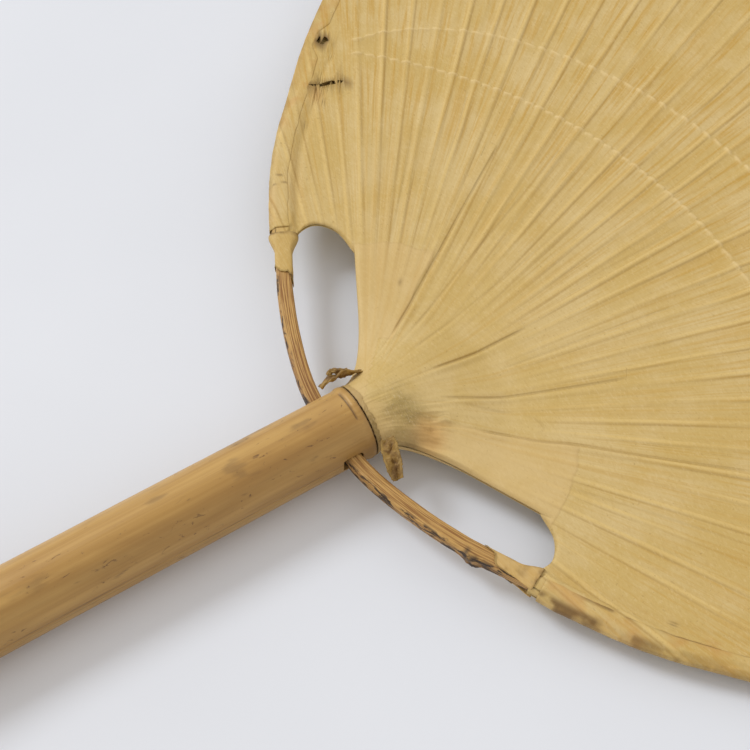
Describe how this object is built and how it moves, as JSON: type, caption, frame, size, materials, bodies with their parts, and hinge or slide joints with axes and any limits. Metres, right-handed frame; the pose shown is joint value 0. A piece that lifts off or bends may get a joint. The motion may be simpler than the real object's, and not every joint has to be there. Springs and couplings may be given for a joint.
{
  "type": "oil paper hand fan",
  "caption": "Rigid hand fan: round bamboo handle, bent bamboo bow, radial split ribs spread by thread rows and covered with oiled paper on both faces.",
  "frame": {"origin": "bottom centre of the fan's box, lying on its back: under the mid plane, at the lowest line of the handle", "axes": "+Y along the handle's axis to the tip of the blade, +X to the fan's right seen from the front, +Z out of the front face"},
  "size_m": [0.292, 0.351, 0.0188],
  "materials": {
    "culm": "satin",
    "bow": "satin",
    "rib": "matt",
    "paper_front": "matt",
    "paper_back": "matt",
    "edge_strip": "matt",
    "collar": "matt",
    "tab": "matt",
    "thread": "matt"
  },
  "bodies": {
    "root": {"handle": "culm", "bow": "bow", "paper_front": "paper_front", "paper_back": "paper_back", "edge_strip": "edge_strip", "neck_collar": "collar", "neck_tab_left": "tab", "neck_tab_right": "tab", "thread_inner": "thread", "thread_outer": "thread", "rib_front_01": "rib", "rib_front_02": "rib", "rib_front_03": "rib", "rib_front_04": "rib", "rib_front_05": "rib", "rib_front_06": "rib", "rib_front_07": "rib", "rib_front_08": "rib", "rib_front_09": "rib", "rib_front_10": "rib", "rib_front_11": "rib", "rib_front_12": "rib", "rib_front_13": "rib", "rib_front_14": "rib", "rib_front_15": "rib", "rib_front_16": "rib", "rib_back_01": "rib", "rib_back_02": "rib", "rib_back_03": "rib", "rib_back_04": "rib", "rib_back_05": "rib", "rib_back_06": "rib", "rib_back_07": "rib", "rib_back_08": "rib", "rib_back_09": "rib", "rib_back_10": "rib", "rib_back_11": "rib", "rib_back_12": "rib", "rib_back_13": "rib", "rib_back_14": "rib", "rib_back_15": "rib", "rib_back_16": "rib"}
  },
  "joints": []
}
